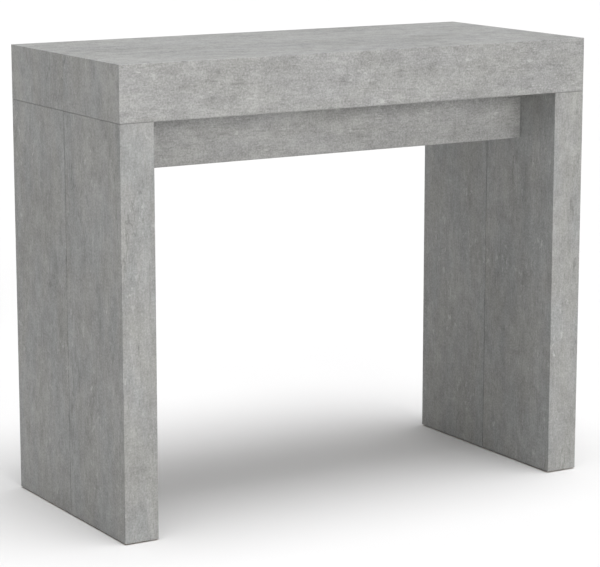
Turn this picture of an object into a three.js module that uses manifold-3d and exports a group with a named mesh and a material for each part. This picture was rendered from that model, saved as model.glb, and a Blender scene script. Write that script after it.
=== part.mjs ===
// Extendable console table: a front and a rear half table that pull apart on two packs of telescopic rails.
// Millimetres, +Z up. The origin is on the floor, midway between the legs and on the split between the
// halves. The front half is on the -Y side and slides towards -Y.
import * as THREE from "three";
import { mergeVertices } from "three/addons/utils/BufferGeometryUtils.js";
import Module from "manifold-3d";

// ---- Driving dimensions ----
const WIDTH = 900;
const DEPTH = 400;
const HEIGHT = 770;
const BOX_HEIGHT = 92; // the top box: top panel, fascias and end panels
const LEG_THICKNESS = 60;
const BOARD = 18; // every melamine board
const APRON_SETBACK = 100; // front face of the apron behind the front face of the table
const APRON_BOTTOM = 589;
const FIT_GAP = 0.3; // between two pieces fixed to each other
const MITRE_GAP = 0.2; // each board's own share of a mitre
const SPLIT_GAP = 0.3; // each half's own share of the split
const LEG_SEAM = 0.8; // shadow line between the top box and the legs
const BLOCK_HEIGHT = 40; // blocks inside the legs

// Glides under the legs: strips with round ends.
const GLIDE_THICKNESS = 2;
const GLIDE_HALF_WIDTH = 14;
const GLIDE_HALF_LENGTH = 80;

// Telescopic rails: profiles side by side, each with a tongue that runs in the next one's slot.
const RAIL_STAGES = 10;
const RAIL_PITCH = 22;
const RAIL_WIDTH = 20;
const RAIL_HEIGHT = 40;
const RAIL_LENGTH = 360;
const RAIL_WALL = 2;
const RAIL_CLEARANCE = 0.4; // between a tongue and its slot
const RAIL_INNERMOST = 100; // from the middle of the table to the nearest profile
const RAIL_HEADROOM = 0.5; // between the profiles and the top panels
const RAIL_TO_APRON = 6; // between the profiles and the aprons
const TONGUE_NECK = 8;
const TONGUE_HEAD = 14;
const TONGUE_HEAD_DEPTH = 4;

// Angle brackets that hold the end profiles of each pack to the top panels.
const BRACKET_THICKNESS = 2;
const BRACKET_FLANGE = 30;
const BRACKET_LENGTH = 150;
const BRACKET_LIFT = 6; // lower edge of the bracket above the bottom of the profiles
const BRACKET_HOLE_RADIUS = 2.5;
const BRACKET_HOLE_PITCH = 55;
const DRILL_LENGTH = 10;

// Alignment pins in the split edge of the top.
const PIN_RADIUS = 4;
const PIN_IN_FRONT = 16; // glued length in the front panel
const PIN_IN_REAR = 12; // length that enters the rear panel
const PIN_SPACING = 640;

// Facets of the round shapes, and how near two corners are to count as one.
const PIN_FACETS = 24;
const HOLE_FACETS = 16;
const GLIDE_END_FACETS = 8;
const WELD_DISTANCE = 1e-4;

// ---- Derived places ----
const HALF_WIDTH = WIDTH / 2;
const HALF_DEPTH = DEPTH / 2;
const BOX_BOTTOM = HEIGHT - BOX_HEIGHT;
const LEG_TOP = BOX_BOTTOM - LEG_SEAM;
const LEG_BOTTOM = GLIDE_THICKNESS;
const LEG_INNER = HALF_WIDTH - LEG_THICKNESS; // inner face of a leg, from the middle
const PANEL_UNDERSIDE = HEIGHT - BOARD;
const RAIL_TOP = PANEL_UNDERSIDE - RAIL_HEADROOM;
const RAIL_BOTTOM = RAIL_TOP - RAIL_HEIGHT;
const RAIL_OUTERMOST = RAIL_INNERMOST + (RAIL_STAGES - 1) * RAIL_PITCH + RAIL_WIDTH;
const APRON_TOP = RAIL_BOTTOM - RAIL_TO_APRON;
const PIN_HEIGHT = HEIGHT - BOARD / 2;

// Direction of each side along X, and of each half along Y, outwards from the middle of the table.
const SIDES = { left: -1, right: 1 };
const HALVES = { front: -1, rear: 1 };

// ---- Finishes ----
const concreteMelamine = { color: 0xabaaa6, roughness: 0.7, metalness: 0 };
const chipboard = { color: 0xb59a72, roughness: 0.9, metalness: 0 };
const aluminium = { color: 0xc4c7c9, roughness: 0.35, metalness: 1 };
const zincSteel = { color: 0xb4b7b8, roughness: 0.4, metalness: 1 };
const beech = { color: 0xc79b6b, roughness: 0.6, metalness: 0 };
const greyPlastic = { color: 0x6f7173, roughness: 0.6, metalness: 0 };

const wasm = await Module();
wasm.setup();

const table = new THREE.Group();

/** Adds one named piece with a material of its own. */
function addPiece(group, name, geometry, finish) {
  const mesh = new THREE.Mesh(geometry, new THREE.MeshStandardMaterial(finish));
  mesh.name = name;
  group.add(mesh);
}

/** A box between two opposite corners, given in any order. */
function boxBetween(a, b) {
  const box = new THREE.Box3().setFromPoints([new THREE.Vector3(...a), new THREE.Vector3(...b)]);
  const size = box.getSize(new THREE.Vector3());
  const centre = box.getCenter(new THREE.Vector3());
  return new THREE.BoxGeometry(size.x, size.y, size.z).translate(centre.x, centre.y, centre.z);
}

/** The closed geometry as a solid that can be joined and cut. */
function toSolid(geometry) {
  const bare = geometry.clone();
  bare.deleteAttribute("normal");
  bare.deleteAttribute("uv");
  const merged = mergeVertices(bare, WELD_DISTANCE);
  return new wasm.Manifold(
    new wasm.Mesh({
      numProp: 3,
      vertProperties: new Float32Array(merged.attributes.position.array),
      triVerts: new Uint32Array(merged.index.array),
    }),
  );
}

/** The geometry with every tool cut out of it. */
function cutAway(geometry, tools) {
  const cut = tools.reduce((solid, tool) => solid.subtract(toSolid(tool)), toSolid(geometry));
  const mesh = cut.getMesh();
  const result = new THREE.BufferGeometry();
  result.setAttribute("position", new THREE.BufferAttribute(mesh.vertProperties, 3));
  result.setIndex(new THREE.BufferAttribute(mesh.triVerts, 1));
  return result;
}

/**
 * A board between two corners with 45 degree mitres. Its outer face is at outer on thicknessAxis and keeps
 * its full size; each edge in mitredEdges, as [axis, coordinate], is cut back by the board's thickness on
 * the inner face.
 */
function mitredBoard(a, b, thicknessAxis, outer, mitredEdges) {
  const geometry = boxBetween(a, b).toNonIndexed();
  const position = geometry.attributes.position;
  const centre = new THREE.Vector3(...a).add(new THREE.Vector3(...b)).multiplyScalar(0.5);
  const corner = new THREE.Vector3();
  const near = (p, q) => Math.abs(p - q) < WELD_DISTANCE;
  for (let i = 0; i < position.count; i += 1) {
    corner.fromBufferAttribute(position, i);
    if (!near(corner[thicknessAxis], outer)) {
      for (const [axis, edge] of mitredEdges) {
        if (near(corner[axis], edge)) corner[axis] += Math.sign(centre[axis] - edge) * BOARD;
      }
    }
    position.setXYZ(i, corner.x, corner.y, corner.z);
  }
  geometry.computeVertexNormals();
  return geometry;
}

// ---- Alignment pins ----
/** The left and right pin along Y, or with a clearance the two bores that they sit in. */
function pinsAcrossSplit(clearance) {
  const radius = PIN_RADIUS + clearance;
  const length = PIN_IN_FRONT + PIN_IN_REAR + 2 * clearance;
  const middleY = (PIN_IN_REAR - PIN_IN_FRONT) / 2;
  return Object.values(SIDES).map((hand) => {
    const pin = new THREE.CylinderGeometry(radius, radius, length, PIN_FACETS);
    return pin.translate((hand * PIN_SPACING) / 2, middleY, PIN_HEIGHT);
  });
}

// ---- One half table ----
/** The boards of one half of the top box with its apron and its two half legs. */
function addHalfTable(half, front) {
  const outerY = front * HALF_DEPTH;
  const splitY = front * SPLIT_GAP;
  const innerY = front * (HALF_DEPTH - BOARD);
  const mitredY = front * (HALF_DEPTH - MITRE_GAP);
  const mitredTop = HEIGHT - MITRE_GAP;
  const group = new THREE.Group();
  table.add(group);

  // Top panel: mitred to the fascia and to both end panels, bored for the pins at the split.
  const panelEnd = HALF_WIDTH - MITRE_GAP;
  const panelCorners = [
    [-panelEnd, mitredY, PANEL_UNDERSIDE],
    [panelEnd, splitY, HEIGHT],
  ];
  const panel = mitredBoard(...panelCorners, "z", HEIGHT, [
    ["x", -panelEnd],
    ["x", panelEnd],
    ["y", mitredY],
  ]);
  addPiece(group, `${half}_top_panel`, cutAway(panel, pinsAcrossSplit(FIT_GAP)), concreteMelamine);

  // Fascia: the long outer face of the top box.
  const fascia = mitredBoard([-panelEnd, outerY, BOX_BOTTOM], [panelEnd, innerY, mitredTop], "y", outerY, [
    ["x", -panelEnd],
    ["x", panelEnd],
    ["z", mitredTop],
  ]);
  addPiece(group, `${half}_fascia`, fascia, concreteMelamine);

  // Apron: ties the two legs together below the rails.
  const apronOuter = front * (HALF_DEPTH - APRON_SETBACK);
  const apron = boxBetween(
    [-LEG_INNER + FIT_GAP, apronOuter, APRON_BOTTOM],
    [LEG_INNER - FIT_GAP, apronOuter - front * BOARD, APRON_TOP],
  );
  addPiece(group, `${half}_apron`, apron, concreteMelamine);

  for (const [side, hand] of Object.entries(SIDES)) {
    // End panel: the short outer face of the top box.
    const outerX = hand * HALF_WIDTH;
    const innerX = hand * (HALF_WIDTH - BOARD);
    const endPanel = mitredBoard([outerX, mitredY, BOX_BOTTOM], [innerX, splitY, mitredTop], "x", outerX, [
      ["y", mitredY],
      ["z", mitredTop],
    ]);
    addPiece(group, `${half}_${side}_end_panel`, endPanel, concreteMelamine);

    // Cleat: closes the box over the leg, which is screwed up to it.
    const cleat = boxBetween(
      [innerX - hand * FIT_GAP, innerY - front * FIT_GAP, BOX_BOTTOM],
      [hand * LEG_INNER, splitY, BOX_BOTTOM + BOARD],
    );
    addPiece(group, `${half}_${side}_leg_cleat`, cleat, concreteMelamine);

    addHalfLeg(group, `${half}_${side}`, hand, front);
  }
}

/** One hollow half leg with its closing strip, blocks and glide. */
function addHalfLeg(group, prefix, hand, front) {
  const outerX = hand * HALF_WIDTH;
  const innerX = hand * LEG_INNER;
  const cavityOuterX = outerX - hand * BOARD;
  const cavityInnerX = innerX + hand * BOARD;
  const outerY = front * HALF_DEPTH;
  const cavityY = outerY - front * BOARD;
  const splitY = front * SPLIT_GAP;

  // Shell: outer face, narrow edge and inner face, folded as a U that is open at the split.
  const outline = new THREE.Shape([
    new THREE.Vector2(outerX, splitY),
    new THREE.Vector2(outerX, outerY),
    new THREE.Vector2(innerX, outerY),
    new THREE.Vector2(innerX, splitY),
    new THREE.Vector2(cavityInnerX, splitY),
    new THREE.Vector2(cavityInnerX, cavityY),
    new THREE.Vector2(cavityOuterX, cavityY),
    new THREE.Vector2(cavityOuterX, splitY),
  ]);
  const shell = new THREE.ExtrudeGeometry(outline, { depth: LEG_TOP - LEG_BOTTOM, bevelEnabled: false });
  addPiece(group, `${prefix}_leg_shell`, shell.translate(0, 0, LEG_BOTTOM), concreteMelamine);

  // Closing strip between the two faces of the U, flush with the split.
  const stripX = [cavityOuterX - hand * FIT_GAP, cavityInnerX + hand * FIT_GAP];
  const stripInnerY = splitY + front * BOARD;
  const strip = boxBetween([stripX[0], splitY, LEG_BOTTOM], [stripX[1], stripInnerY, LEG_TOP]);
  addPiece(group, `${prefix}_leg_closing_strip`, strip, concreteMelamine);

  // Blocks that close the hollow at the foot and take the screws at the top.
  const blockY = [cavityY - front * FIT_GAP, stripInnerY + front * FIT_GAP];
  const footTop = LEG_BOTTOM + BLOCK_HEIGHT;
  const foot = boxBetween([stripX[0], blockY[0], LEG_BOTTOM + FIT_GAP], [stripX[1], blockY[1], footTop]);
  addPiece(group, `${prefix}_leg_foot_block`, foot, chipboard);
  const topLow = LEG_TOP - BLOCK_HEIGHT;
  const topBlock = boxBetween([stripX[0], blockY[0], topLow], [stripX[1], blockY[1], LEG_TOP]);
  addPiece(group, `${prefix}_leg_top_block`, topBlock, chipboard);

  // Glide under the middle of the foot.
  const glideOutline = new THREE.Shape();
  const straight = GLIDE_HALF_LENGTH - GLIDE_HALF_WIDTH;
  glideOutline.absarc(0, straight, GLIDE_HALF_WIDTH, 0, Math.PI);
  glideOutline.absarc(0, -straight, GLIDE_HALF_WIDTH, Math.PI, 2 * Math.PI);
  glideOutline.closePath();
  const glide = new THREE.ExtrudeGeometry(glideOutline, {
    depth: GLIDE_THICKNESS - FIT_GAP,
    bevelEnabled: false,
    curveSegments: GLIDE_END_FACETS,
  });
  glide.translate((outerX + innerX) / 2, outerY / 2, 0);
  addPiece(group, `${prefix}_glide`, glide, greyPlastic);
}

// ---- Telescopic rails ----
/**
 * Section of one profile in the XZ plane, drawn for the left pack with x from the profile's outer side
 * towards the middle of the table: a hollow bar with a slot on its outer side and a tongue on its inner
 * side. The first profile of a pack has no slot and the last has no tongue.
 */
function railSection(hand, originX, hasSlot, hasTongue) {
  const middle = RAIL_HEIGHT / 2;
  const lip = RAIL_WALL;
  const slotNeck = TONGUE_NECK / 2 + RAIL_CLEARANCE;
  const slotHead = TONGUE_HEAD / 2 + RAIL_CLEARANCE;
  const slotFloor = lip + TONGUE_HEAD_DEPTH + 2 * RAIL_CLEARANCE;
  const headStart = RAIL_PITCH + lip + RAIL_CLEARANCE;
  const headEnd = headStart + TONGUE_HEAD_DEPTH;
  const place = ([x, z]) => new THREE.Vector2(originX - hand * x, RAIL_BOTTOM + z);

  const slotSide = [
    [0, middle + slotNeck],
    [lip, middle + slotNeck],
    [lip, middle + slotHead],
    [slotFloor, middle + slotHead],
    [slotFloor, middle - slotHead],
    [lip, middle - slotHead],
    [lip, middle - slotNeck],
    [0, middle - slotNeck],
  ];
  const tongueSide = [
    [RAIL_WIDTH, middle - TONGUE_NECK / 2],
    [headStart, middle - TONGUE_NECK / 2],
    [headStart, middle - TONGUE_HEAD / 2],
    [headEnd, middle - TONGUE_HEAD / 2],
    [headEnd, middle + TONGUE_HEAD / 2],
    [headStart, middle + TONGUE_HEAD / 2],
    [headStart, middle + TONGUE_NECK / 2],
    [RAIL_WIDTH, middle + TONGUE_NECK / 2],
  ];
  const outline = [
    [0, RAIL_HEIGHT],
    ...(hasSlot ? slotSide : []),
    [0, 0],
    [RAIL_WIDTH, 0],
    ...(hasTongue ? tongueSide : []),
    [RAIL_WIDTH, RAIL_HEIGHT],
  ];
  // The hollow is drawn the other way round from the outline, as a hole in a shape has to be.
  const hollow = [
    [slotFloor + RAIL_WALL, RAIL_HEIGHT - RAIL_WALL],
    [RAIL_WIDTH - RAIL_WALL, RAIL_HEIGHT - RAIL_WALL],
    [RAIL_WIDTH - RAIL_WALL, RAIL_WALL],
    [slotFloor + RAIL_WALL, RAIL_WALL],
  ];
  const shape = new THREE.Shape(outline.map(place));
  shape.holes.push(new THREE.Path(hollow.map(place)));
  return shape;
}

/** The two packs of profiles, numbered from the outermost to the innermost. */
function addRails() {
  for (const [side, hand] of Object.entries(SIDES)) {
    const group = new THREE.Group();
    table.add(group);
    for (let stage = 1; stage <= RAIL_STAGES; stage += 1) {
      const originX = hand * (RAIL_OUTERMOST - (stage - 1) * RAIL_PITCH);
      const section = railSection(hand, originX, stage > 1, stage < RAIL_STAGES);
      // The section's plane is XZ, so the extrusion is turned from Z to -Y and centred on the split.
      const profile = new THREE.ExtrudeGeometry(section, { depth: RAIL_LENGTH, bevelEnabled: false });
      profile.rotateX(Math.PI / 2).translate(0, RAIL_LENGTH / 2, 0);
      const number = String(stage).padStart(2, "0");
      addPiece(group, `${side}_rail_${number}`, profile, aluminium);
    }
  }
}

// ---- Angle brackets ----
/**
 * An L section along Y: one flange flat under the top panel, the other against the profile's side.
 * away is the direction along X that leads from the profile's side over the flange.
 */
function addBracket(name, profileX, away, front) {
  const top = PANEL_UNDERSIDE - FIT_GAP;
  const near = profileX + away * FIT_GAP;
  const far = near + away * BRACKET_FLANGE;
  const bend = near + away * BRACKET_THICKNESS;
  const low = RAIL_BOTTOM + BRACKET_LIFT;
  const outline = new THREE.Shape([
    new THREE.Vector2(near, top),
    new THREE.Vector2(near, low),
    new THREE.Vector2(bend, low),
    new THREE.Vector2(bend, top - BRACKET_THICKNESS),
    new THREE.Vector2(far, top - BRACKET_THICKNESS),
    new THREE.Vector2(far, top),
  ]);
  const middleY = front * (HALF_DEPTH / 2);
  const angle = new THREE.ExtrudeGeometry(outline, { depth: BRACKET_LENGTH, bevelEnabled: false });
  angle.rotateX(Math.PI / 2).translate(0, middleY + BRACKET_LENGTH / 2, 0);
  const holes = [-1, 0, 1].flatMap((step) => {
    const y = middleY + step * BRACKET_HOLE_PITCH;
    const drill = new THREE.CylinderGeometry(
      BRACKET_HOLE_RADIUS,
      BRACKET_HOLE_RADIUS,
      DRILL_LENGTH,
      HOLE_FACETS,
    );
    const across = drill.clone().rotateZ(Math.PI / 2);
    const up = drill.rotateX(Math.PI / 2);
    return [up.translate((bend + far) / 2, y, top), across.translate(near, y, (low + top) / 2)];
  });
  addPiece(table, name, cutAway(angle, holes), zincSteel);
}

for (const [half, front] of Object.entries(HALVES)) addHalfTable(half, front);
addRails();
for (const [side, hand] of Object.entries(SIDES)) {
  addBracket(`rear_${side}_rail_bracket`, hand * RAIL_OUTERMOST, hand, HALVES.rear);
  addBracket(`front_${side}_rail_bracket`, hand * RAIL_INNERMOST, -hand, HALVES.front);
}
const [leftPin, rightPin] = pinsAcrossSplit(0);
addPiece(table, "left_alignment_pin", leftPin, beech);
addPiece(table, "right_alignment_pin", rightPin, beech);

export default table;
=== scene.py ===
import math

import bmesh
import bpy
import numpy as np
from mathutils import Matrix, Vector
from mathutils.geometry import tessellate_polygon


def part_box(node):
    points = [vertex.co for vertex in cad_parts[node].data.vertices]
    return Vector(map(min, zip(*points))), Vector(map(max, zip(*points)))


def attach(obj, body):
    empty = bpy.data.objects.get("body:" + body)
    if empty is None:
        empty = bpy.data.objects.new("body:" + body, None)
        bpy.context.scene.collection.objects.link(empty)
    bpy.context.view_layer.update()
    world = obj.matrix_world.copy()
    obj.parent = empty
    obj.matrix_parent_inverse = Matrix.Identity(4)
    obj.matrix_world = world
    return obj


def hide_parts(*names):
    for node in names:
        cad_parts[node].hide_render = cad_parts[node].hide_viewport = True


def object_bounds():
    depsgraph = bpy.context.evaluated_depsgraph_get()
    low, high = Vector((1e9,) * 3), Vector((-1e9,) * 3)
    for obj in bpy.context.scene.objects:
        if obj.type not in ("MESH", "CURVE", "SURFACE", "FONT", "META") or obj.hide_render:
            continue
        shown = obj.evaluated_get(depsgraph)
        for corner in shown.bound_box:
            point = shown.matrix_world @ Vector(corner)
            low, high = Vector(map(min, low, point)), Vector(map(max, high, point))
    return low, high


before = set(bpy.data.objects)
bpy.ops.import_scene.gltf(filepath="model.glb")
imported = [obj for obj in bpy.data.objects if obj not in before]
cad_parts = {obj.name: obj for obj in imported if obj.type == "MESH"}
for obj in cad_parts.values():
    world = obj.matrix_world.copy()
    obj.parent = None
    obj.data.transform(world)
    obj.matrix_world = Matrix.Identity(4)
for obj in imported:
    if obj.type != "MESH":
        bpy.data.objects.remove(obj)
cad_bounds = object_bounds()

# An extendable console table: a front and a rear half table, split along the middle of the depth, that
# pull apart on two packs of telescopic rails. The sections follow the table as it is put together.

# ---- Camera ----
# A long lens from beyond the table's front left corner, a little above the top and tipped slightly down.
camera_data = bpy.data.cameras.new("camera")
camera_data.lens = 143.2
camera = bpy.data.objects.new("camera", camera_data)
camera.location = (-2.105, -3.486, 1.139)
camera.rotation_euler = (math.radians(90 - 10.98), 0, math.radians(-31.08))
bpy.context.scene.collection.objects.link(camera)
bpy.context.scene.camera = camera

# ---- Top panels ----
# The two halves of the top. Each is an 18 mm chipboard faced on both sides with melamine paper, saw-cut to
# 45 degrees on three edges, where it is folded and glued to the fascia and the end panels, and square at
# the split, where it is bored for the alignment pins.
X, Y, Z = range(3)
MM = 0.001
ARRIS = 0.35 * MM  # the paper bends round an edge with about this radius
SPLIT_ARRIS = 0.5 * MM  # the same at the split, where the edge is handled
FOLD = 0.9 * MM  # outside radius of a glued mitre
LAYER_SHIFT = 2.7  # each pattern of the print is taken this far along from the last, in metres


def linear(hex_colour):
    """The linear colour of an sRGB hex value: v/12.92 up to 0.04045, else ((v + 0.055)/1.055)^2.4."""
    value = np.array([int(hex_colour[i : i + 2], 16) for i in (1, 3, 5)]) / 255
    value = np.where(value <= 0.04045, value / 12.92, ((value + 0.055) / 1.055) ** 2.4)
    return (*value.tolist(), 1.0)


def add_node(tree, kind, settings=None, inputs=None):
    """
    One node. settings are its properties; inputs are socket values, or sockets to link from. Sockets go by
    name, or by number where several share one: on a Mix node 6 and 7 are its two colours.
    """
    node = tree.nodes.new(kind)
    for name, value in (settings or {}).items():
        setattr(node, name, value)
    for name, value in (inputs or {}).items():
        if isinstance(value, bpy.types.NodeSocket):
            tree.links.new(value, node.inputs[name])
        else:
            node.inputs[name].default_value = value
    return node


def new_material(name):
    """An empty node material with its output, and its tree."""
    material = bpy.data.materials.new(name)
    material.use_nodes = True
    material.node_tree.nodes.clear()
    return material, material.node_tree


# Melamine board, printed with a cement pattern and pressed matt. The eye gets soft clouds as wide as a
# hand, a mottle of about 25 mm, streaks as from a trowel along the sheet, a speckle of 3 to 8 mm, a few
# chalky wisps, pores and hairline cracks, and a dry sheen that is slightly broken up. The cracks are 2 mm
# wide, coarser than real ones, so that they show.
PRINT_LAYERS = {  # size across the sheet in mm, stretch along it, octaves of detail, roughness of detail
    "broad": (420, 1.4, 1, 0.55),
    "clouds": (110, 1.8, 3, 0.55),
    "mottle": (26, 1.3, 5, 0.62),
    "streaks": (19, 6.0, 4, 0.60),
    "lines": (3.4, 9.0, 2, 0.55),
    "grit": (7.5, 1.15, 1, 0.60),
    "grain": (3.1, 1.1, 3, 0.75),
    "drift": (55, 3.0, 3, 0.55),
    "chalk": (70, 1.6, 2, 0.55),
    "wisps": (10, 2.0, 5, 0.72),
    "pores": (2.8, 8.0, 1, 0.60),
    "cracks": (70, 5.0, 4, 0.60),
    "crazed": (130, 2.5, 1, 0.55),
}


def cement_melamine(name, speckle, cloud, streak, crack, cool, warm):
    """
    A printed board's material. speckle, cloud, streak and crack say how strongly each kind of pattern shows,
    and the print drifts between the cool and the warm tint. The patterns read the board's print UV map, in
    metres along and across the sheet.
    """
    material, tree = new_material(name)
    sheet = add_node(tree, "ShaderNodeUVMap", {"uv_map": "print"}).outputs["UV"]
    pattern = {}
    for number, (layer, (size_mm, stretch, detail, roughness)) in enumerate(PRINT_LAYERS.items()):
        shift = LAYER_SHIFT * number
        place = add_node(
            tree,
            "ShaderNodeMapping",
            inputs={"Vector": sheet, "Location": (shift, shift, 0), "Scale": (1 / stretch, 1, 1)},
        )
        pattern[layer] = add_node(
            tree,
            "ShaderNodeTexNoise",
            {"noise_dimensions": "2D"},
            {
                "Vector": place.outputs["Vector"],
                "Scale": 1 / (size_mm * MM),
                "Detail": detail,
                "Roughness": roughness,
            },
        ).outputs["Fac"]

    # The tone of the print: each pattern about its middle, weighed by how much it shows.
    tone = 0.5
    for layer, weight in {
        "broad": 0.30 * cloud,
        "clouds": 0.34 * cloud,
        "mottle": 0.68 * cloud,
        "streaks": 0.30 * streak,
        "lines": 0.25 * streak,
        "grit": 0.35 * speckle,
        "grain": 1.25 * speckle,
    }.items():
        about_middle = add_node(
            tree, "ShaderNodeMath", {"operation": "SUBTRACT"}, {0: pattern[layer], 1: 0.5}
        ).outputs[0]
        tone = add_node(
            tree, "ShaderNodeMath", {"operation": "MULTIPLY_ADD"}, {0: about_middle, 1: weight, 2: tone}
        ).outputs[0]
    print_ramp = add_node(tree, "ShaderNodeValToRGB", inputs={"Fac": tone})
    print_ramp.color_ramp.elements[0].position = 0.18
    print_ramp.color_ramp.elements[0].color = linear("#777775")
    print_ramp.color_ramp.elements[1].position = 0.82
    print_ramp.color_ramp.elements[1].color = linear("#a7a7a5")

    # A faint drift between the cool and the warm tint, in patches some 50 mm wide.
    tint = add_node(tree, "ShaderNodeValToRGB", inputs={"Fac": pattern["drift"]})
    tint.color_ramp.elements[0].position = 0.38
    tint.color_ramp.elements[0].color = linear(cool)
    tint.color_ramp.elements[1].position = 0.62
    tint.color_ramp.elements[1].color = linear(warm)
    tint.color_ramp.elements.new(0.50).color = linear("#ffffff")
    colour = add_node(
        tree,
        "ShaderNodeMix",
        {"data_type": "RGBA", "blend_type": "MULTIPLY"},
        {"Factor": 1.0, 6: print_ramp.outputs["Color"], 7: tint.outputs["Color"]},
    ).outputs[2]

    # Chalky wisps, where a ragged noise is near its highest within a chalky patch. Dark pores, where a
    # fine stretched one is near its lowest. Cracks, where a stretched one crosses its middle value within
    # a crazed patch.
    from_middle = add_node(
        tree, "ShaderNodeMath", {"operation": "SUBTRACT"}, {0: pattern["cracks"], 1: 0.5}
    )
    pattern["cracks"] = add_node(
        tree, "ShaderNodeMath", {"operation": "ABSOLUTE"}, {0: from_middle.outputs[0]}
    ).outputs[0]
    shown = {}
    for layer, none_at, full_at, most in (
        ("chalk", 0.50, 0.66, 1.0),
        ("wisps", 0.56, 0.72, 0.60),
        ("pores", 0.32, 0.20, 0.40),
        ("crazed", 0.53, 0.63, 1.0),
        ("cracks", 0.012, 0.0, crack),
    ):
        shown[layer] = add_node(
            tree,
            "ShaderNodeMapRange",
            {"interpolation_type": "SMOOTHSTEP"},
            {
                "Value": pattern[layer],
                "From Min": none_at,
                "From Max": full_at,
                "To Min": 0.0,
                "To Max": most,
            },
        ).outputs["Result"]
    for layer, within in (("wisps", "chalk"), ("cracks", "crazed")):
        shown[layer] = add_node(
            tree, "ShaderNodeMath", {"operation": "MULTIPLY"}, {0: shown[layer], 1: shown[within]}
        ).outputs[0]
    for layer, hex_colour in (("wisps", "#bebebc"), ("pores", "#5d5e5c"), ("cracks", "#545452")):
        colour = add_node(
            tree,
            "ShaderNodeMix",
            {"data_type": "RGBA"},
            {"Factor": shown[layer], 6: colour, 7: linear(hex_colour)},
        ).outputs[2]

    # The press plate leaves a dry relief some hundredths of a millimetre deep, lowest in pores and cracks.
    relief = pattern["grain"]
    for height_of, height in ((pattern["lines"], 0.35), (shown["pores"], -2.0), (shown["cracks"], -1.5)):
        relief = add_node(
            tree, "ShaderNodeMath", {"operation": "MULTIPLY_ADD"}, {0: height_of, 1: height, 2: relief}
        ).outputs[0]
    bump = add_node(
        tree, "ShaderNodeBump", inputs={"Height": relief, "Strength": 0.35, "Distance": 0.06 * MM}
    )
    rough = add_node(
        tree,
        "ShaderNodeMapRange",
        inputs={"Value": tone, "From Min": 0.2, "From Max": 0.8, "To Min": 0.66, "To Max": 0.54},
    )
    shader = add_node(
        tree,
        "ShaderNodeBsdfPrincipled",
        inputs={
            "Base Color": colour,
            "Roughness": rough.outputs["Result"],
            "Normal": bump.outputs["Normal"],
            "IOR": 1.5,
            "Specular IOR Level": 0.4,
        },
    )
    add_node(tree, "ShaderNodeOutputMaterial", inputs={"Surface": shader.outputs["BSDF"]})
    return material


# The long boards have the livelier print; the ends and the legs have a calmer one, with a little more tint.
melamine = cement_melamine("cement_print_melamine_pressed", 0.80, 0.74, 0.95, 0.14, "#fefeff", "#fffffe")
calm_melamine = cement_melamine(
    "calm_cement_print_melamine_pressed", 0.58, 0.66, 0.90, 0.38, "#fcfeff", "#fffffd"
)


def skin(rings, around, first=0):
    """Four-sided faces between rings of points, each closed on itself; first is the first point's number."""
    ring = np.arange(rings - 1)[:, None] * around + first
    here = np.arange(around)[None, :]
    after = (here + 1) % around
    quads = [ring + here, ring + after, ring + around + after, ring + around + here]
    return np.stack(quads, -1).reshape(-1, 4).tolist()


def end_faces(rings, around):
    """The two many-sided faces that close a stack of rings."""
    last = around * (rings - 1)
    return [list(range(around))[::-1], list(range(last, last + around))]


def piece(name, points, faces, material, body, stands_for=()):
    """A closed mesh object at the origin with its faces turned outwards, riding on a body."""
    mesh = bpy.data.meshes.new(name)
    mesh.from_pydata(np.asarray(points).reshape(-1, 3).tolist(), [], faces)
    solid = bmesh.new()
    solid.from_mesh(mesh)
    bmesh.ops.recalc_face_normals(solid, faces=solid.faces)
    solid.to_mesh(mesh)
    solid.free()
    mesh.materials.append(material)
    obj = bpy.data.objects.new(name, mesh)
    bpy.context.scene.collection.objects.link(obj)
    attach(obj, body)
    if stands_for:
        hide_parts(*stands_for)
    return obj


def arris_steps(radius, steps=4):
    """Inset and depth round a quarter arc: inset = r(1 - sin t), depth = r(1 - cos t), t from 0 to 90."""
    angle = np.linspace(0, math.pi / 2, steps + 1)
    return radius * (1 - np.sin(angle)), radius * (1 - np.cos(angle))


def arris_profile(depth, radius):
    """Inset of a rounded arris at each depth: r - sqrt(r^2 - (r - d)^2), and nothing below the arc."""
    left = np.clip(radius - depth, 0, radius)
    return radius - np.sqrt(radius**2 - left**2)


def board(low, high, face, mitres=(), radius=ARRIS):
    """
    Points and faces of a board between two corners; face names the side of its outer face, such as "+z".
    Its four corners are carried through the thickness. At a depth d a square edge is inset along a quarter
    arc at both faces, and a mitred edge along half an arc and then by d itself, which is 45 degrees.
    """
    through = "xyz".index(face[1])
    a, b = [axis for axis in range(3) if axis != through]
    outer, inner = (high, low) if face[0] == "+" else (low, high)
    thickness = high[through] - low[through]
    arc_inset, arc_depth = arris_steps(FOLD if mitres else radius)
    end_inset, end_depth = arris_steps(radius)
    depth = np.concatenate([arc_depth, thickness - end_depth[::-1]])
    square = np.concatenate([arris_profile(arc_depth, radius), end_inset[::-1]])
    middle_of_arc = arc_inset[len(arc_inset) // 2] * 1.01  # there the inset and the depth are the same
    mitred = np.where(depth < middle_of_arc, np.concatenate([arc_inset, end_inset]), depth)

    def inset(edge):
        return mitred if edge in mitres else square

    low_a = low[a] + inset("-" + "xyz"[a])
    high_a = high[a] - inset("+" + "xyz"[a])
    low_b = low[b] + inset("-" + "xyz"[b])
    high_b = high[b] - inset("+" + "xyz"[b])
    points = np.empty((len(depth), 4, 3))
    points[:, :, a] = np.stack([low_a, high_a, high_a, low_a], 1)
    points[:, :, b] = np.stack([low_b, low_b, high_b, high_b], 1)
    points[:, :, through] = (outer[through] + np.sign(inner[through] - outer[through]) * depth)[:, None]
    return points, skin(len(depth), 4) + end_faces(len(depth), 4)


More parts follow.
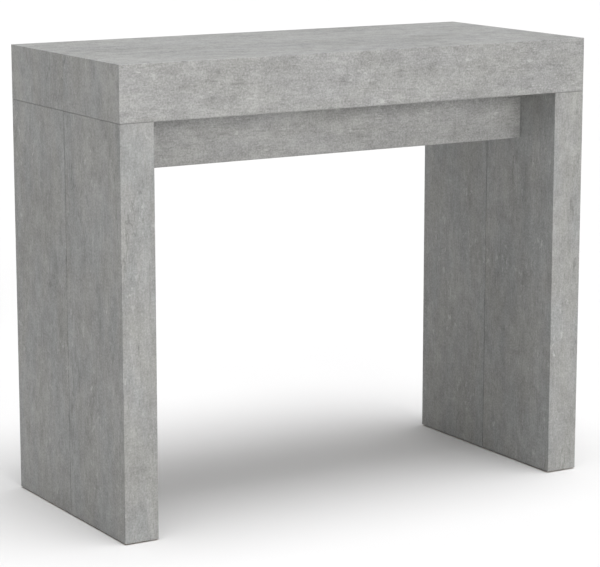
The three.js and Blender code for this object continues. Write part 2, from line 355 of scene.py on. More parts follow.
def lay_print(obj, grain, along, across):
    """
    The UV map of the print, in metres. On each face, u runs with the grain axis and v across it, in the
    plane that the face is nearest to; along and across are each a sign and a start, so that the pattern
    runs on round a fold into the neighbouring board.
    """
    mesh = obj.data
    count = len(mesh.polygons)
    normal = np.empty(count * 3)
    mesh.polygons.foreach_get("normal", normal)
    corners = np.empty(count, int)
    mesh.polygons.foreach_get("loop_total", corners)
    facing = np.repeat(np.abs(normal.reshape(-1, 3)).argmax(1), corners)
    vertex = np.empty(len(mesh.loops), int)
    mesh.loops.foreach_get("vertex_index", vertex)
    place = np.empty(len(mesh.vertices) * 3)
    mesh.vertices.foreach_get("co", place)
    place = place.reshape(-1, 3)[vertex]
    g = "xyz".index(grain)
    u_axis = np.where(facing == g, (g + 1) % 3, g)
    v_axis = 3 - facing - u_axis
    row = np.arange(len(vertex))
    u = along[0] * place[row, u_axis] + along[1]
    v = across[0] * place[row, v_axis] + across[1]
    layer = mesh.uv_layers.new(name="print")
    layer.data.foreach_set("uv", np.stack([u, v], 1).ravel())


def box_of(node):
    """The lowest and highest corner of a CAD node."""
    return np.array(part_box(node))


def end_of(box, axis, way):
    """Where a box ends along an axis: on its high side if way is positive, else on its low side."""
    return box[1 if way > 0 else 0][axis]


half_width, half_depth, height = np.array(cad_bounds)[1]
halves = {"front": -1, "rear": 1}  # and the side of the split that each lies on, along Y
sides = {"left": -1, "right": 1}  # the same along X
outward = {"front": "-y", "rear": "+y", "left": "-x", "right": "+x"}
body_of = {half: f"{half}_half" for half in halves}
sheet_start = {"front": (1.22, 1.04), "rear": (6.42, 3.56)}  # each half is cut from another sheet


def square_to(corner_a, corner_b):
    """The lowest and highest corner of the box between two corners."""
    both = np.array([corner_a, corner_b], float)
    return both.min(0), both.max(0)


def bore(obj, centre, radius, length):
    """Cuts a round bore along Y out of a piece, with the exact boolean, applied to the mesh."""
    cutter_mesh = bpy.data.meshes.new("cutter")
    shaft = bmesh.new()
    bmesh.ops.create_cone(
        shaft, cap_ends=True, segments=48, radius1=radius, radius2=radius, depth=length
    )
    shaft.to_mesh(cutter_mesh)
    shaft.free()
    cutter = bpy.data.objects.new("cutter", cutter_mesh)
    cutter.rotation_euler = (math.pi / 2, 0, 0)
    cutter.location = centre
    bpy.context.scene.collection.objects.link(cutter)
    modifier = obj.modifiers.new("bore", "BOOLEAN")
    modifier.operation = "DIFFERENCE"
    modifier.solver = "EXACT"
    modifier.object = cutter
    bpy.context.view_layer.update()
    evaluated = obj.evaluated_get(bpy.context.evaluated_depsgraph_get())
    cut = bpy.data.meshes.new_from_object(evaluated)
    obj.modifiers.clear()
    obj.data = cut
    bpy.data.objects.remove(cutter)
    bpy.data.meshes.remove(cutter_mesh)


BORE_PLAY = 0.3 * MM  # between an alignment pin and its bore, all round and at each end
pin_width, pin_length, _ = np.ptp(box_of("left_alignment_pin"), axis=0)
pin_places = [box_of(f"{side}_alignment_pin").mean(0) for side in sides]
for half, front in halves.items():
    node = f"{half}_top_panel"
    node_box = box_of(node)
    panel_low, panel_high = square_to(
        (-half_width, front * half_depth, node_box[0][Z]), (half_width, end_of(node_box, Y, -front), height)
    )
    folded = ("-x", "+x", outward[half])
    points, faces = board(panel_low, panel_high, "+z", folded, SPLIT_ARRIS)
    panel = piece(f"{node}_board", points, faces, melamine, body_of[half], [node])
    u_start, v_start = sheet_start[half]
    lay_print(panel, "x", (1, u_start), (1, v_start))
    for place in pin_places:
        bore(panel, place, pin_width / 2 + BORE_PLAY, pin_length + 2 * BORE_PLAY)

# ---- Fascias ----
# The long outer faces of the top box: the same board, folded down from the top panel at a glued mitre, so
# the print runs on over the edge. The lower edge is square, closed with a printed ABS band 1 mm thick.
BAND = 1.0 * MM
SMALL_ARRIS = 0.3 * MM  # of bands, strips and cleats
for half, front in halves.items():
    node = f"{half}_fascia"
    node_box = box_of(node)
    inner = end_of(node_box, Y, -front)
    bottom = node_box[0][Z]
    fascia_low, fascia_high = square_to(
        (-half_width, front * half_depth, bottom + BAND), (half_width, inner, height)
    )
    points, faces = board(fascia_low, fascia_high, outward[half], ("-x", "+x", "+z"))
    fascia = piece(f"{node}_board", points, faces, melamine, body_of[half], [node])
    u_start, v_start = sheet_start[half]
    over_edge = (-front, v_start + front * (half_depth + height))
    lay_print(fascia, "x", (1, u_start), over_edge)
    band_low, band_high = square_to(
        (-half_width, front * half_depth, bottom), (half_width, inner, bottom + BAND)
    )
    points, faces = board(band_low, band_high, outward[half], ("-x", "+x"), SMALL_ARRIS)
    band = piece(f"{node}_edge_band", points, faces, melamine, body_of[half])
    lay_print(band, "x", (1, u_start), over_edge)

# ---- End panels ----
# The short outer faces of the top box. They are folded down from the ends of the top, so the print's
# streaks, which run along the top, turn the corner and run down them.
CLOSED_GAP = 0.1 * MM  # left between the end panels, and the closing strips, when the table is shut


def half_box_of(node, front):
    """The box of a node, with its face at the split brought to within half of CLOSED_GAP of the middle."""
    corners = box_of(node)
    corners[1 if front < 0 else 0][Y] = front * CLOSED_GAP / 2
    return corners


for half, front in halves.items():
    u_start, v_start = sheet_start[half]
    for side, hand in sides.items():
        node = f"{half}_{side}_end_panel"
        node_box = half_box_of(node, front)
        end_low, end_high = square_to(
            (hand * half_width, front * half_depth, node_box[0][Z]),
            (end_of(node_box, X, -hand), end_of(node_box, Y, -front), height),
        )
        points, faces = board(end_low, end_high, outward[side], (outward[half], "+z"))
        end = piece(f"{node}_board", points, faces, calm_melamine, body_of[half], [node])
        lay_print(end, "z", (-hand, u_start + hand * (half_width + height)), (1, v_start))

# ---- Aprons ----
# A rail of the same board behind each fascia. It ties the two half legs together below the telescopic
# rails, and stands back so that knees clear it. Its lower edge has an ABS band too.
apron_start = {"front": (8.56, 6.62), "rear": (11.16, 6.62)}  # where on the sheet each is cut
for half in halves:
    node = f"{half}_apron"
    node_low, node_high = box_of(node)
    u_start, v_start = apron_start[half]
    apron_low = node_low + np.array((0, 0, BAND))
    points, faces = board(apron_low, node_high, outward[half])
    apron = piece(f"{node}_board", points, faces, melamine, body_of[half], [node])
    lay_print(apron, "x", (1, u_start), (1, v_start))
    band_high = np.array((node_high[X], node_high[Y], node_low[Z] + BAND))
    points, faces = board(node_low, band_high, outward[half], radius=SMALL_ARRIS)
    band = piece(f"{node}_edge_band", points, faces, melamine, body_of[half])
    lay_print(band, "x", (1, u_start), (1, v_start))

# ---- Leg shells ----
# Each half leg is one board, grooved on the back and folded into a U: outer face, narrow edge and inner
# face, glued at the folds. The print runs round it without a break, with its streaks upright. The sawn
# end at the foot shows the raw chipboard.
SPLIT_GROOVE = 0.60 * MM  # the shells stop this far from the middle, behind the closing strips
SEAM_RISE = 0.3 * MM  # taken off the shadow line that the frame leaves between leg and box
SAWN_ARRIS = 0.2 * MM


def rounded(corners, radii, steps=4):
    """
    An outline whose corners are arcs. Between the directions a and b to its neighbours, a corner's arc
    has its centre at r / sin(half angle) along their bisector, and its points turn evenly about it.
    """
    corners = np.asarray(corners, float)
    radii = np.broadcast_to(np.asarray(radii, float), len(corners))[:, None]
    back = np.roll(corners, 1, 0) - corners
    ahead = np.roll(corners, -1, 0) - corners
    back /= np.linalg.norm(back, axis=1, keepdims=True)
    ahead /= np.linalg.norm(ahead, axis=1, keepdims=True)
    half_angle = np.arccos(np.clip((back * ahead).sum(1, keepdims=True), -1, 1)) / 2
    bisector = back + ahead
    bisector /= np.linalg.norm(bisector, axis=1, keepdims=True)
    centre = corners + bisector * radii / np.sin(half_angle)
    first = corners + back * radii / np.tan(half_angle) - centre
    last = corners + ahead * radii / np.tan(half_angle) - centre
    turn = (math.pi - 2 * half_angle)[:, None]
    share = np.linspace(0, 1, steps + 1)[None, :, None]
    arc = np.sin((1 - share) * turn) * first[:, None] + np.sin(share * turn) * last[:, None]
    arc /= np.sin(turn)
    return (centre[:, None] + arc).reshape(-1, 2)


def extrusion(outlines, axis, start, end, radius):
    """
    Outlines in the plane of the other two axes, the first the outside and the rest holes, carried along an
    axis. Near both ends every outline is drawn into the wall along a quarter arc, which rounds the edge:
    a point moves by inset * (n1 + n2) / (1 + n1.n2), where n1 and n2 are its sides' inward normals.
    """
    a, b = [other for other in range(3) if other != axis]
    arc_inset, arc_depth = arris_steps(radius, 2)
    inset = np.concatenate([arc_inset, arc_inset[::-1]])
    station = np.concatenate([start + arc_depth, end - arc_depth[::-1]])
    rings = len(station)
    points, faces, flat, first_ring, last_ring = [], [], [], [], []
    begun = 0
    for number, outline in enumerate(outlines):
        x, y = outline.T
        area = (x * np.roll(y, -1) - np.roll(x, -1) * y).sum() / 2
        if (area > 0) != (number == 0):
            outline = outline[::-1]
        side = np.roll(outline, -1, 0) - outline
        side /= np.linalg.norm(side, axis=1, keepdims=True)
        inward = np.stack([-side[:, 1], side[:, 0]], 1)
        before = np.roll(inward, 1, 0)
        move = (before + inward) / (1 + (before * inward).sum(1, keepdims=True))
        ring = np.empty((rings, len(outline), 3))
        ring[:, :, [a, b]] = outline + inset[:, None, None] * move
        ring[:, :, axis] = station[:, None]
        points.append(ring.reshape(-1, 3))
        faces += skin(rings, len(outline), begun)
        flat.append([Vector((*point, 0)) for point in ring[0][:, [a, b]]])
        first_ring += range(begun, begun + len(outline))
        last_ring += range(begun + (rings - 1) * len(outline), begun + rings * len(outline))
        begun += rings * len(outline)
    for triangle in tessellate_polygon(flat):
        faces.append([first_ring[i] for i in triangle])
        faces.append([last_ring[i] for i in triangle[::-1]])
    return np.concatenate(points), faces


# Raw chipboard, pressed from wood chips of 2 to 6 mm and sawn. The eye gets a dry tan crumb of straw and
# brown flakes with dark gaps between them.
chipboard, tree = new_material("chipboard_pressed_sawn")
place = add_node(tree, "ShaderNodeTexCoord").outputs["Object"]
chips = add_node(tree, "ShaderNodeTexVoronoi", inputs={"Vector": place, "Scale": 1 / (4.0 * MM)})
chip_tone = add_node(tree, "ShaderNodeSeparateColor", inputs={"Color": chips.outputs["Color"]})
chip_ramp = add_node(tree, "ShaderNodeValToRGB", inputs={"Fac": chip_tone.outputs["Red"]})
chip_ramp.color_ramp.elements[0].color = linear("#8f7b60")
chip_ramp.color_ramp.elements[1].color = linear("#c6b394")
gap = add_node(
    tree,
    "ShaderNodeMapRange",
    inputs={
        "Value": chips.outputs["Distance"],
        "From Min": 0.35,
        "From Max": 0.75,
        "To Min": 0.0,
        "To Max": 0.6,
    },
)
crumb = add_node(
    tree,
    "ShaderNodeMix",
    {"data_type": "RGBA"},
    {"Factor": gap.outputs["Result"], 6: chip_ramp.outputs["Color"], 7: linear("#665642")},
)
crumb_bump = add_node(
    tree,
    "ShaderNodeBump",
    {"invert": True},
    {"Height": chips.outputs["Distance"], "Strength": 0.6, "Distance": 0.3 * MM},
)
shader = add_node(
    tree,
    "ShaderNodeBsdfPrincipled",
    inputs={"Base Color": crumb.outputs[2], "Roughness": 0.9, "Normal": crumb_bump.outputs["Normal"]},
)
add_node(tree, "ShaderNodeOutputMaterial", inputs={"Surface": shader.outputs["BSDF"]})


def saw_lower_end(obj):
    """Gives the faces that look straight down the raw chipboard."""
    obj.data.materials.append(chipboard)
    normal = np.empty(len(obj.data.polygons) * 3)
    obj.data.polygons.foreach_get("normal", normal)
    obj.data.polygons.foreach_set("material_index", (normal[2::3] < -0.99).astype(int))


board_thickness = np.ptp(box_of("front_fascia")[:, Y])
for half, front in halves.items():
    for side, hand in sides.items():
        node = f"{half}_{side}_leg_shell"
        node_box = box_of(node)
        outer = end_of(node_box, X, hand)
        inner = end_of(node_box, X, -hand)
        edge = end_of(node_box, Y, front)
        split = front * SPLIT_GROOVE
        within = -hand * board_thickness
        # The outline starts and ends inside the hollow, so that the print's join is out of sight.
        corners = [
            (outer + within, edge - front * board_thickness),
            (outer + within, split),
            (outer, split),
            (outer, edge),
            (inner, edge),
            (inner, split),
            (inner - within, split),
            (inner - within, edge - front * board_thickness),
        ]
        # Small in the hollow and round the edges at the split, and largest at the two folds.
        radii = np.array([0.2, 0.4, 0.5, 0.9, 0.9, 0.5, 0.4, 0.2]) * MM
        outline = rounded(corners, radii)
        bottom, top = node_box[:, Z]
        points, faces = extrusion([outline], Z, bottom, top + SEAM_RISE, SAWN_ARRIS)
        shell = piece(f"{node}_folded", points, faces, calm_melamine, body_of[half], [node])
        # The print: u up the leg and v along the outline, from where it starts. Each half leg is cut from
        # another place on the sheet.
        ring_size = len(outline)
        ring_points = points[:ring_size, :2]
        run = np.linalg.norm(np.roll(ring_points, -1, 0) - ring_points, axis=1)
        arc_length = np.concatenate([[0], np.cumsum(run)[:-1]])
        v_of_vertex = np.tile(arc_length, len(points) // ring_size)
        vertex = np.empty(len(shell.data.loops), int)
        shell.data.loops.foreach_get("vertex_index", vertex)
        u = points[vertex, Z] + 12.66 + 2.1 * hand
        v = v_of_vertex[vertex] + 10.22 + 1.7 * front
        shell.data.uv_layers.new(name="print").data.foreach_set("uv", np.stack([u, v], 1).ravel())
        saw_lower_end(shell)

# ---- Closing strips, cleats and blocks ----
# The strip closes the hollow of a half leg at the split and is flush with it. The cleat closes the box over
# the leg, and the leg is screwed up to it. Both are faced board. The blocks inside the hollow are raw
# chipboard: the upper one takes those screws and the lower one the glide.
for half, front in halves.items():
    for side, hand in sides.items():
        strip = f"{half}_{side}_leg_closing_strip"
        towards_split = "+y" if front < 0 else "-y"
        points, faces = board(*half_box_of(strip, front), towards_split, radius=SMALL_ARRIS)
        made = piece(f"{strip}_board", points, faces, melamine, body_of[half], [strip])
        lay_print(made, "z", (1, 14.0 + hand), (1, 12.0 + front))
        saw_lower_end(made)
        cleat = f"{half}_{side}_leg_cleat"
        points, faces = board(*box_of(cleat), "-z", radius=SMALL_ARRIS)
        made = piece(f"{cleat}_board", points, faces, melamine, body_of[half], [cleat])
        lay_print(made, "y", (1, 17.0 + hand), (1, 15.0 + front))
        for block in ("leg_foot_block", "leg_top_block"):
            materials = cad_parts[f"{half}_{side}_{block}"].data.materials
            materials.clear()
            materials.append(chipboard)

# ---- Glides ----
# A strip of moulded polyethylene with round ends is nailed under each half leg, so that the table can be
# pulled open without scratching the floor.
GLIDE_ARRIS = 0.5 * MM  # round its lower and upper edges

# Polyethylene, moulded in grey. The eye gets a dull, finely grained plastic, scuffed paler in places.
glide_plastic, tree = new_material("polyethylene_moulded_grey")
place = add_node(tree, "ShaderNodeTexCoord").outputs["Object"]
skin_noise = add_node(
    tree, "ShaderNodeTexNoise", inputs={"Vector": place, "Scale": 1 / (0.8 * MM), "Detail": 3.0}
)
scuff = add_node(
    tree,
    "ShaderNodeTexNoise",
    inputs={"Vector": place, "Scale": 1 / (12 * MM), "Detail": 4.0, "Roughness": 0.7},
)
scuff_colour = add_node(tree, "ShaderNodeValToRGB", inputs={"Fac": scuff.outputs["Fac"]})
scuff_colour.color_ramp.elements[0].position = 0.35
scuff_colour.color_ramp.elements[0].color = linear("#4e4f50")
scuff_colour.color_ramp.elements[1].position = 0.7
scuff_colour.color_ramp.elements[1].color = linear("#626364")
plastic_bump = add_node(
    tree,
    "ShaderNodeBump",
    inputs={"Height": skin_noise.outputs["Fac"], "Strength": 0.3, "Distance": 0.05 * MM},
)
shader = add_node(
    tree,
    "ShaderNodeBsdfPrincipled",
    inputs={
        "Base Color": scuff_colour.outputs["Color"],
        "Roughness": 0.55,
        "IOR": 1.51,
        "Normal": plastic_bump.outputs["Normal"],
    },
)
add_node(tree, "ShaderNodeOutputMaterial", inputs={"Surface": shader.outputs["BSDF"]})

for half in halves:
    for side in sides:
        node = f"{half}_{side}_glide"
        node_box = box_of(node)
        middle = node_box.mean(0)[:Z]
        reach = np.ptp(node_box, axis=0)[:Z] / 2
        corners = np.array([(-1, -1), (1, -1), (1, 1), (-1, 1)]) * reach + middle
        # The ends are half circles, all but a hair, which keeps the arcs' last points apart.
        outline = rounded(corners, reach[X] - 0.01 * MM, 12)
        points, faces = extrusion([outline], Z, *node_box[:, Z], GLIDE_ARRIS)
        piece(f"{node}_strip", points, faces, glide_plastic, body_of[half], [node])

# ---- Telescopic rails ----
# Two packs of ten aluminium extrusions side by side. Each is a hollow bar with a T-shaped slot on its outer
# side, in which the tongue of the next one outwards runs; the first has no slot and the last no tongue. The
# outermost profile is fixed to the rear half and the innermost to the front half.
RAIL_WIDTH = 20 * MM
RAIL_WALL = 2 * MM
RUN_GAP = 0.4 * MM  # between a tongue and its slot
TONGUE_NECK = 8 * MM
TONGUE_HEAD = 14 * MM
TONGUE_DEPTH = 4 * MM
RAIL_PITCH = 22 * MM
DIE_RADIUS = 0.3 * MM  # of every corner of the section
STAGES = 10

# Extruded aluminium with a natural anodised coat. The eye gets a satin metal, a little milky, with fine
# die lines along the bar; they are 1 mm apart here, coarser than real ones, so that they show.
aluminium, tree = new_material("aluminium_extruded_natural_anodised")
place = add_node(tree, "ShaderNodeTexCoord").outputs["Object"]
along = add_node(tree, "ShaderNodeMapping", inputs={"Vector": place, "Scale": (1, 0.012, 1)})
die_lines = add_node(
    tree,
    "ShaderNodeTexNoise",
    inputs={"Vector": along.outputs["Vector"], "Scale": 1 / (1.0 * MM), "Detail": 3.0, "Roughness": 0.6},
)
cloudy = add_node(
    tree, "ShaderNodeTexNoise", inputs={"Vector": place, "Scale": 1 / (45 * MM), "Detail": 3.0}
)
coat = add_node(tree, "ShaderNodeValToRGB", inputs={"Fac": die_lines.outputs["Fac"]})
coat.color_ramp.elements[0].position = 0.3
coat.color_ramp.elements[0].color = linear("#c3c6c8")
coat.color_ramp.elements[1].position = 0.7
coat.color_ramp.elements[1].color = linear("#dadcdd")
satin = add_node(
    tree,
    "ShaderNodeMapRange",
    inputs={
        "Value": cloudy.outputs["Fac"],
        "From Min": 0.3,
        "From Max": 0.7,
        "To Min": 0.30,
        "To Max": 0.42,
    },
)
die_bump = add_node(
    tree,
    "ShaderNodeBump",
    inputs={"Height": die_lines.outputs["Fac"], "Strength": 0.3, "Distance": 0.05 * MM},
)
shader = add_node(
    tree,
    "ShaderNodeBsdfPrincipled",
    inputs={
        "Base Color": coat.outputs["Color"],
        "Metallic": 1.0,
        "Roughness": satin.outputs["Result"],
        "Normal": die_bump.outputs["Normal"],
    },
)
add_node(tree, "ShaderNodeOutputMaterial", inputs={"Surface": shader.outputs["BSDF"]})

# Pressed or turned steel with a bright zinc plating. The eye gets a cool metal with a faint spangle.
zinc, tree = new_material("steel_pressed_bright_zinc_plated")
place = add_node(tree, "ShaderNodeTexCoord").outputs["Object"]
spangle = add_node(
    tree,
    "ShaderNodeTexNoise",
    inputs={"Vector": place, "Scale": 1 / (6 * MM), "Detail": 4.0, "Roughness": 0.65},
)
plating = add_node(tree, "ShaderNodeValToRGB", inputs={"Fac": spangle.outputs["Fac"]})
plating.color_ramp.elements[0].position = 0.35
plating.color_ramp.elements[0].color = linear("#b3b8bd")
plating.color_ramp.elements[1].position = 0.68
plating.color_ramp.elements[1].color = linear("#d3d4d2")
patchy = add_node(
    tree,
    "ShaderNodeMapRange",
    inputs={
        "Value": spangle.outputs["Fac"],
        "From Min": 0.3,
        "From Max": 0.7,
        "To Min": 0.38,
        "To Max": 0.26,
    },
)
shader = add_node(
    tree,
    "ShaderNodeBsdfPrincipled",
    inputs={
        "Base Color": plating.outputs["Color"],
        "Metallic": 1.0,
        "Roughness": patchy.outputs["Result"],
    },
)
add_node(tree, "ShaderNodeOutputMaterial", inputs={"Surface": shader.outputs["BSDF"]})


def rail_outline(depth, has_slot, has_tongue):
    """The section's outside and its hollow, x from the outer side inwards and z from its middle."""
    top = depth / 2
    slot_neck = TONGUE_NECK / 2 + RUN_GAP
    slot_head = TONGUE_HEAD / 2 + RUN_GAP
    slot_floor = RAIL_WALL + TONGUE_DEPTH + 2 * RUN_GAP
    head_start = RAIL_PITCH + RAIL_WALL + RUN_GAP
    head_end = head_start + TONGUE_DEPTH
    slot_half = [(0, slot_neck), (RAIL_WALL, slot_neck), (RAIL_WALL, slot_head), (slot_floor, slot_head)]
    tongue_half = [
        (RAIL_WIDTH, TONGUE_NECK / 2),
        (head_start, TONGUE_NECK / 2),
        (head_start, TONGUE_HEAD / 2),
        (head_end, TONGUE_HEAD / 2),
    ]

    def mirrored(half):
        return half + [(x, -z) for x, z in half[::-1]]

    outside = [(0, top), *(mirrored(slot_half) if has_slot else []), (0, -top), (RAIL_WIDTH, -top)]
    outside += [(x, -z) for x, z in mirrored(tongue_half)] if has_tongue else []
    outside += [(RAIL_WIDTH, top)]
    hollow_x = (slot_floor + RAIL_WALL, RAIL_WIDTH - RAIL_WALL)
    hollow_z = top - RAIL_WALL
    hollow = [(hollow_x[i], hollow_z * s) for i, s in ((0, -1), (1, -1), (1, 1), (0, 1))]
    return np.array(outside), np.array(hollow)


def stage_body(stage):
    """The first profile belongs to the rear half and the last to the front half."""
    return {1: "rear_half", STAGES: "front_half"}.get(stage, f"rail_stage_{stage:02d}")


for side, hand in sides.items():
    for stage in range(1, STAGES + 1):
        node = f"{side}_rail_{stage:02d}"
        node_box = box_of(node)
        outer = end_of(node_box, X, hand)
        middle_z = node_box[:, Z].mean()
        sections = rail_outline(np.ptp(node_box[:, Z]), stage > 1, stage < STAGES)
        placed = [
            rounded(np.stack([outer - hand * x, middle_z + z], 1), DIE_RADIUS, 2)
            for x, z in (section.T for section in sections)
        ]
        points, faces = extrusion(placed, Y, *node_box[:, Y], SAWN_ARRIS)
        body = stage_body(stage)
        piece(f"{node}_profile", points, faces, aluminium, body, [node])

# ---- Screws ----
# Pan-head screws of zinc-plated steel with a cross recess, 8 mm across, and 5 mm where they stop a rail.
# They are driven home, so only the heads show.


def screw_heads(name, places, out, body, across=8 * MM, tall=2.4 * MM):
    """
    Screw heads at places, facing out. Each is a grid of an angle and a step outwards: the floor of the
    cross recess, its wall, the dome, and the rim. The recess's edge is at the larger of
    min(L/|cos|, w/|sin|) and min(L/|sin|, w/|cos|), for arms 2L long and 2w wide.
    """
    arm, half_arm = 0.28 * across, 0.075 * across
    corner = math.atan2(half_arm, arm)
    quarter = np.array([0, corner, math.pi / 6, math.pi / 4, math.pi / 3, math.pi / 2 - corner])
    angle = (np.arange(4)[:, None] * math.pi / 2 + quarter).ravel()
    c, s = np.abs(np.cos(angle)) + 1e-9, np.abs(np.sin(angle)) + 1e-9
    cross = np.maximum(np.minimum(arm / c, half_arm / s), np.minimum(arm / s, half_arm / c))
    outwards = np.array([0.05, 0.93, 1.0, 1.35, 1.7, 1.92, 2.0, 2.0])  # 1 is the recess's edge, 2 the rim
    rise = np.array([0.3, 0.45, 0.97, 0.98, 0.86, 0.62, 0.35, 0.0]) * tall
    radius = np.where(
        outwards[:, None] <= 1,
        outwards[:, None] * cross,
        cross + (outwards[:, None] - 1) * (across / 2 - cross),
    )
    head = np.stack(
        [radius * np.cos(angle), radius * np.sin(angle), np.broadcast_to(rise[:, None], radius.shape)], -1
    ).reshape(-1, 3)
    faces = skin(len(rise), len(angle)) + end_faces(len(rise), len(angle))
    out = np.asarray(out, float)
    level = np.roll(out, 1)
    basis = np.stack([level, np.cross(out, level), out])
    points = np.concatenate([head @ basis + np.asarray(place) for place in places])
    all_faces = [[i + k * len(head) for i in face] for k in range(len(places)) for face in faces]
    piece(name, points, all_faces, zinc, body)


# A stop screw is driven up through the floor of each profile, close to each end, so that the next
# profile's tongue can't run out of its slot.
STOP_INSET = 9 * MM
STOP_ACROSS = 0.65 * RAIL_WIDTH  # from the profile's outer side
STOP_SIZE = (5 * MM, 1.4 * MM)  # across and tall
for stage in range(1, STAGES + 1):
    stops = []
    for side, hand in sides.items():
        rail_box = box_of(f"{side}_rail_{stage:02d}")
        x = end_of(rail_box, X, hand) - hand * STOP_ACROSS
        bottom = rail_box[0][Z]
        stops += [(x, end_of(rail_box, Y, way) - way * STOP_INSET, bottom) for way in (-1, 1)]
    screw_heads(f"rail_stop_screws_{stage:02d}", stops, (0, 0, -1), stage_body(stage), *STOP_SIZE)

# ---- Rail brackets ----
# Angles pressed from 2 mm steel strip. One flange lies under the top panel and the other against the side
# of the outermost or innermost profile, and three screws hold each flange.
SHEET = 2 * MM
PRESSED_ARRIS = 0.3 * MM  # at the sheared ends
BRACKET_SCREW_PITCH = 55 * MM
SIDE_SCREW_DROP = 2 * MM  # below the middle of the upright flange


def pressed_angle(bend, far):
    """
    The section of a pressed angle: its two flanges lie along the sides of a rectangle that meet at bend, and
    run as far as the opposite corner's level.
    """
    (x, y), (far_x, far_y) = bend, far
    back_x = x + np.sign(far_x - x) * SHEET
    back_y = y + np.sign(far_y - y) * SHEET
    corners = [(x, y), (x, far_y), (back_x, far_y), (back_x, back_y), (far_x, back_y), (far_x, y)]
    return rounded(corners, np.array([2.6, 0.4, 0.4, 0.6, 0.4, 0.4]) * MM, 5)


for half, front in halves.items():
    for side, hand in sides.items():
        node = f"{half}_{side}_rail_bracket"
        node_box = box_of(node)
        away = front * hand  # the rear brackets stand outside the packs and the front ones inside them
        near = end_of(node_box, X, -away)
        far = end_of(node_box, X, away)
        bottom, top = node_box[:, Z]
        outline = pressed_angle((near, top), (far, bottom))
        points, faces = extrusion([outline], Y, *node_box[:, Y], PRESSED_ARRIS)
        piece(f"{node}_angle", points, faces, zinc, body_of[half], [node])
        stations = [node_box[:, Y].mean() + step * BRACKET_SCREW_PITCH for step in (-1, 0, 1)]
        flange = near + away * SHEET
        under = [((flange + far) / 2, y, top - SHEET) for y in stations]
        screw_heads(f"{node}_screws_up", under, (0, 0, -1), body_of[half])
        beside = [(flange, y, (bottom + top) / 2 - SIDE_SCREW_DROP) for y in stations]
        screw_heads(f"{node}_screws_across", beside, (away, 0, 0), body_of[half])

# ---- Corner angles ----
# Where an apron meets a leg, a small angle pressed from the same steel strip is screwed into the corner
# behind it, with two screws through each flange.
ANGLE_FLANGE = 26 * MM
ANGLE_LENGTH = 56 * MM
ANGLE_LIFT = 22 * MM  # above the lower edge of the apron
ANGLE_HOLE = 0.58 * ANGLE_FLANGE  # from the bend
for half, front in halves.items():
    apron_box = box_of(f"{half}_apron")
    back = end_of(apron_box, Y, -front)
    bottom = apron_box[0][Z] + ANGLE_LIFT
    levels = [bottom + share * ANGLE_LENGTH for share in (0.25, 0.75)]
    for side, hand in sides.items():
        leg_face = end_of(box_of(f"{half}_{side}_leg_shell"), X, -hand)
        outline = pressed_angle(
            (leg_face, back), (leg_face - hand * ANGLE_FLANGE, back - front * ANGLE_FLANGE)
        )
        points, faces = extrusion([outline], Z, bottom, bottom + ANGLE_LENGTH, PRESSED_ARRIS)
        name = f"{half}_{side}_corner_angle"
        piece(name, points, faces, zinc, body_of[half])
        on_apron = [(leg_face - hand * ANGLE_HOLE, back - front * SHEET, z) for z in levels]
        screw_heads(f"{name}_screws_apron", on_apron, (0, -front, 0), body_of[half])
        on_leg = [(leg_face - hand * SHEET, back - front * ANGLE_HOLE, z) for z in levels]
        screw_heads(f"{name}_screws_leg", on_leg, (-hand, 0, 0), body_of[half])

# ---- Leg screws ----
# Two of the pan-head screws go down through each cleat into the chipboard block at the top of the half
# leg, and pull the leg up under the box.
LEG_SCREW_REACH = 45 * MM  # from the middle of the cleat
for half in halves:
    for side in sides:
        cleat_box = box_of(f"{half}_{side}_leg_cleat")
        x, y, _ = cleat_box.mean(0)
        spots = [(x, y + way * LEG_SCREW_REACH, cleat_box[1][Z]) for way in (-1, 1)]
        screw_heads(f"{half}_{side}_leg_screws", spots, (0, 0, 1), body_of[half])

# ---- Alignment pins ----
# Turned and fluted beech dowels, glued into the split edge of the front panel. They slip into the bores of
# the rear panel, or of a leaf, and level the two surfaces.
FLUTES = 12
FLUTE_DEPTH = 0.25 * MM

# Beech, turned and left bare. The eye gets a dry, pinkish straw wood with fine darker fibres along it.
beech, tree = new_material("beech_turned_bare")
place = add_node(tree, "ShaderNodeTexCoord").outputs["Object"]
fibre = add_node(tree, "ShaderNodeMapping", inputs={"Vector": place, "Scale": (1, 0.08, 1)})
fibres = add_node(
    tree,
    "ShaderNodeTexNoise",
    inputs={"Vector": fibre.outputs["Vector"], "Scale": 1 / (0.9 * MM), "Detail": 4.0, "Roughness": 0.6},
)
wood = add_node(tree, "ShaderNodeValToRGB", inputs={"Fac": fibres.outputs["Fac"]})
wood.color_ramp.elements[0].position = 0.3
wood.color_ramp.elements[0].color = linear("#b88a5c")
wood.color_ramp.elements[1].position = 0.7
wood.color_ramp.elements[1].color = linear("#dcb98c")
wood_bump = add_node(
    tree,
    "ShaderNodeBump",
    inputs={"Height": fibres.outputs["Fac"], "Strength": 0.4, "Distance": 0.1 * MM},
)
shader = add_node(
    tree,
    "ShaderNodeBsdfPrincipled",
    inputs={
        "Base Color": wood.outputs["Color"],
        "Roughness": 0.65,
        "IOR": 1.5,
        "Normal": wood_bump.outputs["Normal"],
    },
)
add_node(tree, "ShaderNodeOutputMaterial", inputs={"Surface": shader.outputs["BSDF"]})

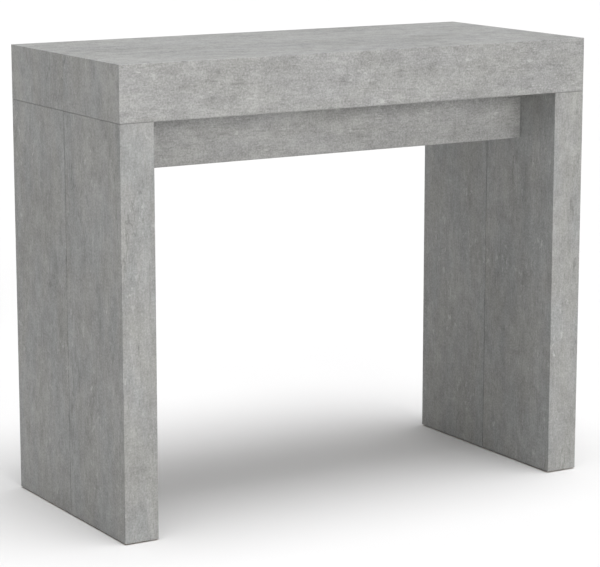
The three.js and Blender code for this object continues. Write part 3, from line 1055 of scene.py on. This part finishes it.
for side in sides:
    node = f"{side}_alignment_pin"
    node_box = box_of(node)
    centre = node_box.mean(0)
    # Radius at each angle and station: the full radius less shallow flutes, drawn in at both ends.
    angle = np.linspace(0, 2 * math.pi, FLUTES * 8, endpoint=False)
    flute = FLUTE_DEPTH * np.clip(np.cos(FLUTES * angle), 0, 1)
    station = np.array([0, 0.4, 1.2, 2.2, 3.0]) * MM
    tip = np.array([0.62, 0.80, 0.95, 1.0, 1.0])
    station = np.concatenate([station, pin_length - station[::-1]])
    share = np.concatenate([tip, tip[::-1]])[:, None]
    reach = share * pin_width / 2 - flute * (share > 0.9)
    points = np.stack(
        [
            centre[X] + reach * np.cos(angle),
            np.broadcast_to((node_box[0][Y] + station)[:, None], reach.shape),
            centre[Z] + reach * np.sin(angle),
        ],
        -1,
    )
    faces = skin(len(station), len(angle)) + end_faces(len(station), len(angle))
    piece(f"{node}_dowel", points, faces, beech, "front_half", [node])

# ---- Floor and light ----
# A plain white studio: a flat floor that curves up into a low wall all round, in one matt paint. The light
# is soft and even: one broad lamp far in front, one overhead, and a dim grey sky.
INNER_RADIUS = 2.0  # the floor within this is one flat face
FLOOR_RADIUS = 26.0
COVE_RADIUS = 3.0
WALL_RADIUS = FLOOR_RADIUS + COVE_RADIUS
WALL_HEIGHT = 3.6
FLOOR_DROP = 0.1 * MM  # below the glides, so that they don't share a plane

# Emulsion paint, rolled on. The eye gets an even matt white, with no gloss to mirror the table.
studio_paint, tree = new_material("emulsion_paint_white_matt")
shader = add_node(
    tree, "ShaderNodeBsdfPrincipled", inputs={"Base Color": linear("#dbdad9"), "Roughness": 0.9}
)
add_node(tree, "ShaderNodeOutputMaterial", inputs={"Surface": shader.outputs["BSDF"]})

# The profile runs down the wall, round a quarter circle and in over the floor, and is turned about Z.
turn = np.linspace(math.pi / 2, 0, 17)
profile_r = np.concatenate([[WALL_RADIUS], FLOOR_RADIUS + COVE_RADIUS * np.sin(turn), [INNER_RADIUS]])
profile_z = np.concatenate([[WALL_HEIGHT], COVE_RADIUS * (1 - np.cos(turn)), [0]]) - FLOOR_DROP
angle = np.linspace(0, 2 * math.pi, 96, endpoint=False)
points = np.stack(
    [
        profile_r[:, None] * np.cos(angle),
        profile_r[:, None] * np.sin(angle),
        np.broadcast_to(profile_z[:, None], (len(profile_z), len(angle))),
    ],
    -1,
)
studio_mesh = bpy.data.meshes.new("studio")
faces = skin(len(profile_r), len(angle)) + end_faces(len(profile_r), len(angle))[1:]
studio_mesh.from_pydata(points.reshape(-1, 3).tolist(), [], faces)
studio_mesh.shade_smooth()
studio_mesh.materials.append(studio_paint)
studio = bpy.data.objects.new("studio", studio_mesh)
bpy.context.scene.collection.objects.link(studio)


def far_lamp(name, towards, spread, strength, hex_colour):
    """A far, broad lamp in the direction towards, spread degrees wide, giving strength W/m2 face on."""
    data = bpy.data.lights.new(name, "SUN")
    data.color = linear(hex_colour)[:3]
    data.angle = math.radians(spread)
    data.energy = strength
    lamp = bpy.data.objects.new(name, data)
    lamp.rotation_euler = Vector(towards).to_track_quat("Z", "Y").to_euler()
    bpy.context.scene.collection.objects.link(lamp)


far_lamp("front_lamp", (-0.03, -1.0, 0.02), 44, 3.82, "#fffefd")
far_lamp("top_lamp", (0.06, -0.15, 1.0), 46, 3.35, "#fcfdff")

world = bpy.data.worlds.new("studio")
bpy.context.scene.world = world
world.use_nodes = True
tree = world.node_tree
tree.nodes.clear()
sky = add_node(tree, "ShaderNodeBackground", inputs={"Color": linear("#ffffff"), "Strength": 0.33})
add_node(tree, "ShaderNodeOutputWorld", inputs={"Surface": sky.outputs["Background"]})
bpy.context.scene.view_settings.view_transform = "Standard"
